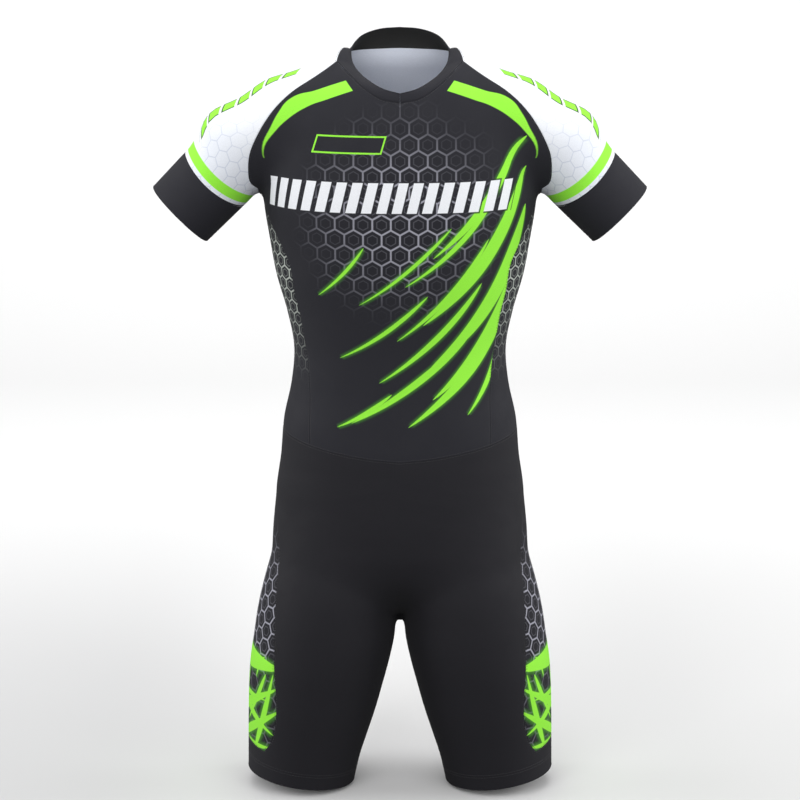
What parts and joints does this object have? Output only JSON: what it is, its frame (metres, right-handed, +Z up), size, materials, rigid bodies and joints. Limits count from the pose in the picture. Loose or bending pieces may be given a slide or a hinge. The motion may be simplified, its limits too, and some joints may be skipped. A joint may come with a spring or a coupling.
{
  "type": "speed skating suit",
  "caption": "Short one-piece speed skating suit with raglan sleeves, dark body, white sleeves, honeycomb print and neon green accents, filled out with no wearer.",
  "frame": {"origin": "between the shoulders, at the base of the neck at the back, level with the seam where the collar meets the back", "axes": "+Z up, +X to the wearer's left, the front of the suit looks along -Y"},
  "size_m": [0.616, 0.234, 0.9736],
  "materials": {
    "dark_knit": "matte stretch knit",
    "printed_knit": "matte stretch knit with a dyed print",
    "honeycomb_knit": "matte stretch knit with a dyed honeycomb",
    "shorts_knit": "matte stretch knit",
    "white_knit": "matte stretch knit with dyed stripes",
    "zip_cloth": "woven tape",
    "zip_metal": "satin black"
  },
  "bodies": {
    "root": {"back": "dark_knit", "collar": "dark_knit", "cuff_left": "dark_knit", "cuff_right": "dark_knit", "front_left": "printed_knit", "front_right": "printed_knit", "inset_left": "honeycomb_knit", "inset_right": "honeycomb_knit", "shorts_back_left": "shorts_knit", "shorts_back_right": "shorts_knit", "shorts_front": "shorts_knit", "side_left": "honeycomb_knit", "side_right": "honeycomb_knit", "sleeve_left": "white_knit", "sleeve_right": "white_knit", "zip_slider": "zip_metal", "zip_tape": "zip_cloth"}
  },
  "joints": []
}
